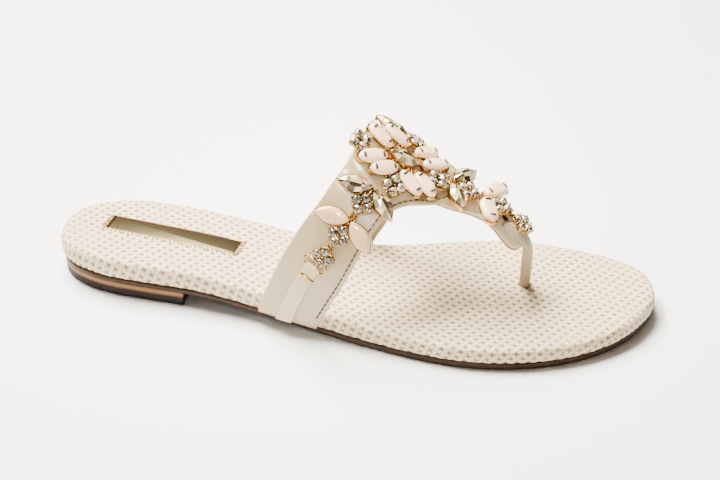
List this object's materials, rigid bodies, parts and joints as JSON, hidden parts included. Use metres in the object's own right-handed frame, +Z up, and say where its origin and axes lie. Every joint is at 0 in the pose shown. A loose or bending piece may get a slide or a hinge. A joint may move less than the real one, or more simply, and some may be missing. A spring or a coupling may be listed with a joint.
{
  "type": "slide sandal",
  "caption": "Flat thong slide sandal for the right foot: cushioned woven-look footbed, low stacked heel, and a leather instep band with toe strap, post and jewelled ornament.",
  "frame": {"origin": "centre of the sandal's plan box, on the ground it stands on", "axes": "+X from heel to toe, +Y to the medial side (towards the other foot), +Z up"},
  "size_m": [0.25, 0.0856, 0.0832],
  "materials": {
    "woven_wrap": "matt woven-look wrap with a diagonal dot lattice",
    "ivory_leather": "smooth ivory leather",
    "dark_leather": "dark brown sole leather",
    "stacked_leather": "polished tan heel stack",
    "gold": "polished gold-coloured plating",
    "smoky_crystal": "faceted champagne-grey crystal, foiled behind",
    "pale_pink_stone": "milky pale pink cabochon",
    "rhinestone": "clear grey rhinestone, foiled behind"
  },
  "bodies": {
    "root": {"footbed": "woven_wrap", "outsole": "dark_leather", "heel_top_lift": "dark_leather", "heel_stack": "stacked_leather", "upper": "ivory_leather", "toe_post": "ivory_leather", "overlay_strap_lateral": "ivory_leather", "overlay_strap_medial": "ivory_leather", "label_plate": "gold", "loop_lateral": "gold", "loop_medial": "gold", "staple_lateral": "gold", "staple_medial": "gold", "setting_centre": "gold", "setting_lateral": "gold", "setting_medial": "gold", "setting_toe": "gold", "crystal_centre_1": "smoky_crystal", "crystal_lateral_1": "smoky_crystal", "crystal_lateral_2": "smoky_crystal", "crystal_medial_1": "smoky_crystal", "crystal_medial_2": "smoky_crystal", "crystal_toe_1": "smoky_crystal", "crystal_toe_2": "smoky_crystal", "pink_centre_1": "pale_pink_stone", "pink_centre_2": "pale_pink_stone", "pink_centre_3": "pale_pink_stone", "pink_centre_4": "pale_pink_stone", "pink_centre_5": "pale_pink_stone", "pink_centre_6": "pale_pink_stone", "pink_centre_7": "pale_pink_stone", "pink_centre_8": "pale_pink_stone", "pink_lateral_1": "pale_pink_stone", "pink_lateral_2": "pale_pink_stone", "pink_medial_1": "pale_pink_stone", "pink_medial_2": "pale_pink_stone", "pink_toe_1": "pale_pink_stone", "pink_toe_2": "pale_pink_stone", "cluster_centre_1": "rhinestone", "cluster_centre_2": "rhinestone", "cluster_centre_3": "rhinestone", "cluster_centre_4": "rhinestone", "cluster_lateral_1": "rhinestone", "cluster_lateral_2": "rhinestone", "cluster_lateral_3": "rhinestone", "cluster_medial_1": "rhinestone", "cluster_medial_2": "rhinestone", "cluster_medial_3": "rhinestone", "cluster_toe_1": "rhinestone", "cluster_toe_2": "rhinestone", "cluster_toe_3": "rhinestone"}
  },
  "joints": []
}
